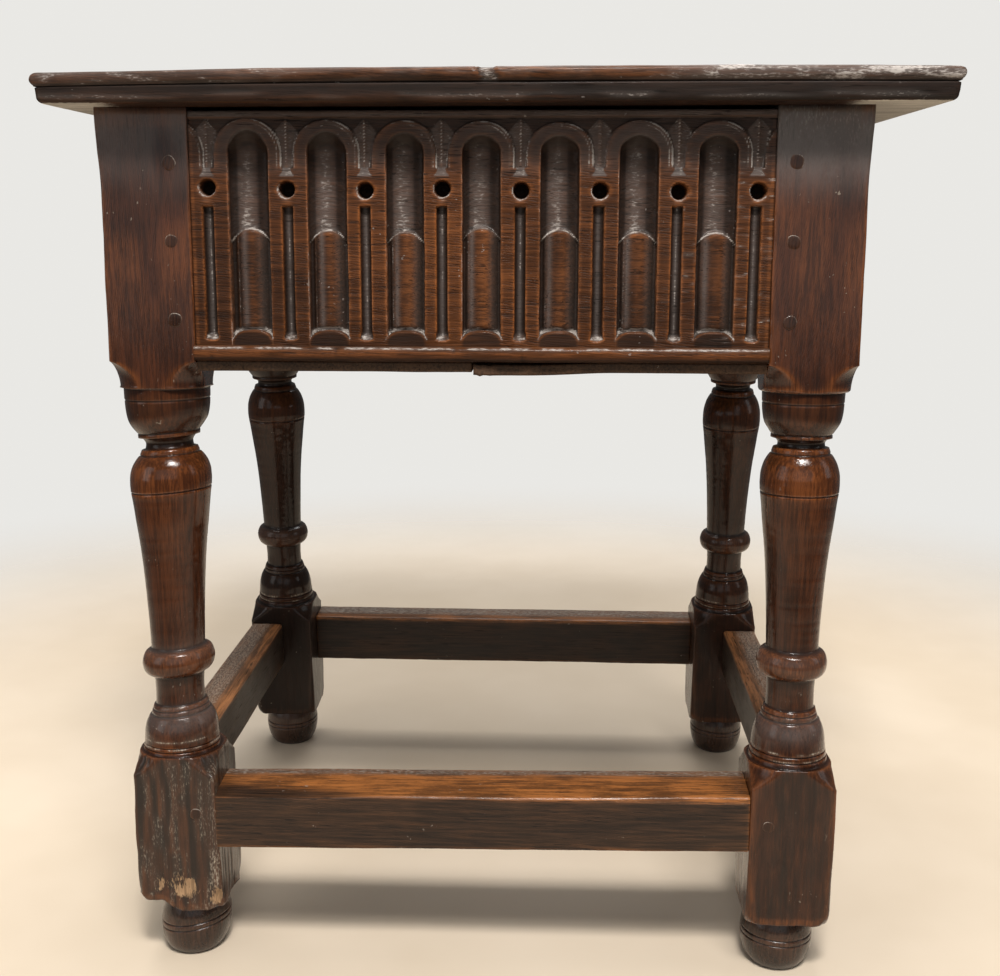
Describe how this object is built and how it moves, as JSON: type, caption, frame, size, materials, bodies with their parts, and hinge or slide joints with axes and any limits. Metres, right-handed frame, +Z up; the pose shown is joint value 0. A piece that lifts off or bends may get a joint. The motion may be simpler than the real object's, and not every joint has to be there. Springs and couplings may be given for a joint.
{
  "type": "joint stool",
  "caption": "Joined oak box stool on turned, splayed legs with stretchers and bun feet, a stop-fluted carved front frieze and a hinged board lid over a shallow box.",
  "frame": {"origin": "on the floor, under the middle of the lid", "axes": "+Z up, the carved front faces -Y, +X to the right of someone facing the front"},
  "size_m": [0.5182, 0.376, 0.558],
  "materials": {
    "oak_frame": "dark waxed oak with an old, nearly black patina",
    "oak_lid": "dark waxed oak board with a worn moulded edge",
    "oak_stretcher": "waxed oak, rubbed to orange brown on the tread",
    "oak_foot": "near-black polished turned wood",
    "oak_peg": "riven oak peg end, dark and waxed",
    "oak_inside": "dry unpolished oak board",
    "iron": "hand-forged iron with brown-black rust"
  },
  "bodies": {
    "frame": {"front_left_leg": "oak_frame", "front_left_foot": "oak_foot", "front_right_leg": "oak_frame", "front_right_foot": "oak_foot", "back_left_leg": "oak_frame", "back_left_foot": "oak_foot", "back_right_leg": "oak_frame", "back_right_foot": "oak_foot", "front_rail": "oak_frame", "front_bead": "oak_frame", "front_rail_pegs": "oak_peg", "front_stretcher": "oak_stretcher", "back_rail": "oak_frame", "back_bead": "oak_frame", "back_rail_pegs": "oak_peg", "back_stretcher": "oak_stretcher", "left_rail": "oak_frame", "left_bead": "oak_frame", "left_rail_pegs": "oak_peg", "left_stretcher": "oak_stretcher", "right_rail": "oak_frame", "right_bead": "oak_frame", "right_rail_pegs": "oak_peg", "right_stretcher": "oak_stretcher", "stretcher_pegs": "oak_peg", "left_bottom_board": "oak_inside", "right_bottom_board": "oak_inside", "bottom_nails": "iron", "rail_hinge_eyes": "iron"},
    "lid": {"lid_board": "oak_lid", "lid_hinge_loops": "iron"}
  },
  "joints": [
    {"name": "lid_hinge", "type": "hinge", "parent": "frame", "child": "lid", "pos_m": [-0.00715, 0.17017, 0.5275], "axis": [-1, 0, 0], "range_deg": [0, 100]}
  ]
}
